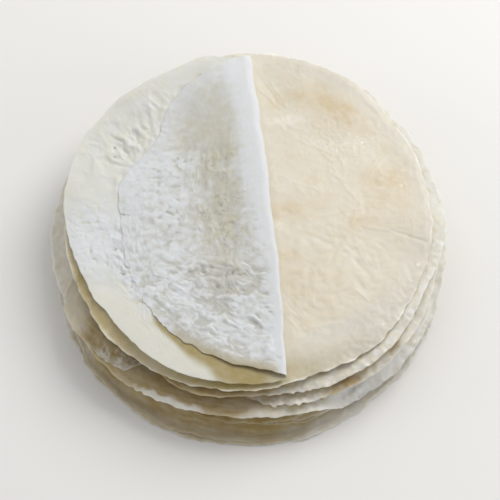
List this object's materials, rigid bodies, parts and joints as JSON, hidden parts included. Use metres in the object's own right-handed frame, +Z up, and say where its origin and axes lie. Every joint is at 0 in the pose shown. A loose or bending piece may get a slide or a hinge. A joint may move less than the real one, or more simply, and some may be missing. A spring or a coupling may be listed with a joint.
{
  "type": "stack of spring roll wrappers",
  "caption": "Loose stack of thin round wheat-flour wrappers with wavy rims, the topmost half folded over to show its floury underside; for rolling around fillings.",
  "frame": {"origin": "on the resting surface, under the middle of the stack's bounding box", "axes": "+Z up; +X to the right and +Y away from the viewer, who looks at the open end of the fold"},
  "size_m": [0.217, 0.2259, 0.0472],
  "materials": {
    "cream": "soft matt, cream, slightly translucent dough",
    "browned": "satin, cream with faint golden blotches and a paler rim",
    "floury": "powdery matt white, blistered"
  },
  "bodies": {
    "root": {"wrapper_01": "cream", "wrapper_02": "cream", "wrapper_03": "cream", "wrapper_04": "cream", "wrapper_05": "cream", "wrapper_06": "cream", "wrapper_07": "cream", "wrapper_08": "cream", "wrapper_09": "cream", "wrapper_10": "cream", "wrapper_11": "cream", "wrapper_12": "cream", "wrapper_13": "cream", "wrapper_14": "cream", "wrapper_15": "browned", "wrapper_folded": "floury"}
  },
  "joints": []
}
